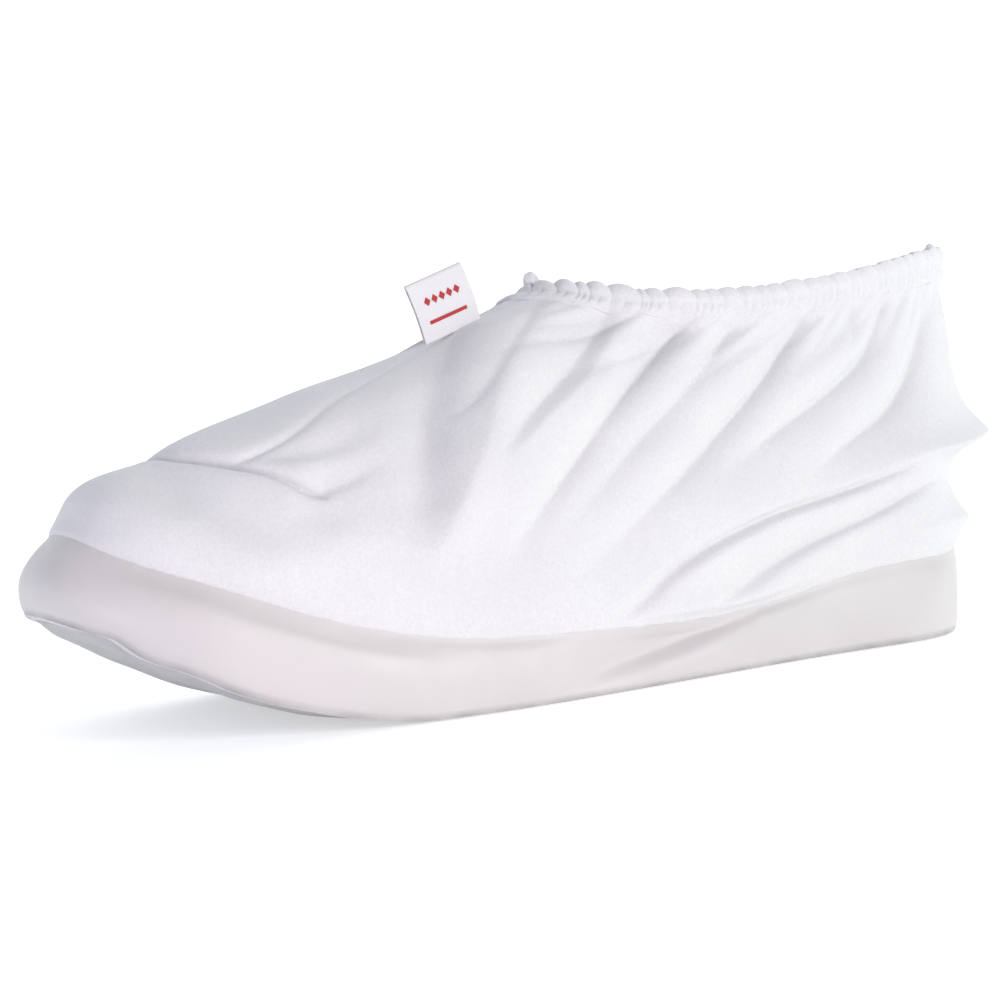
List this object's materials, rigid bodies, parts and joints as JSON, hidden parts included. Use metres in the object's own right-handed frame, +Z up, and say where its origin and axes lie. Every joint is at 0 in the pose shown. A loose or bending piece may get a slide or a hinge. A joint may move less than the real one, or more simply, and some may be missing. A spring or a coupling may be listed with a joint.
{
  "type": "reusable shoe cover",
  "caption": "Reusable cloth shoe cover with a gathered collar, a smooth side strip and a grip sole, open at the top so that it slips over a shoe.",
  "frame": {"origin": "middle of the cover's box, on the floor that it stands on", "axes": "+X from toe to heel, +Y to the side away from the label, +Z up"},
  "size_m": [0.3317, 0.1118, 0.1289],
  "materials": {
    "upper_cloth": "soft brushed white knit",
    "casing_cloth": "soft brushed white knit, gathered",
    "coated_band": "smooth satin coated cloth, warm white",
    "piping": "matt bound seam",
    "grip_sheet": "matt grey grip sheet",
    "label_weave": "fine woven tape"
  },
  "bodies": {
    "root": {"upper": "upper_cloth", "collar_casing": "casing_cloth", "sole_band": "coated_band", "sole_piping": "piping", "outsole": "grip_sheet", "size_label": "label_weave"}
  },
  "joints": []
}
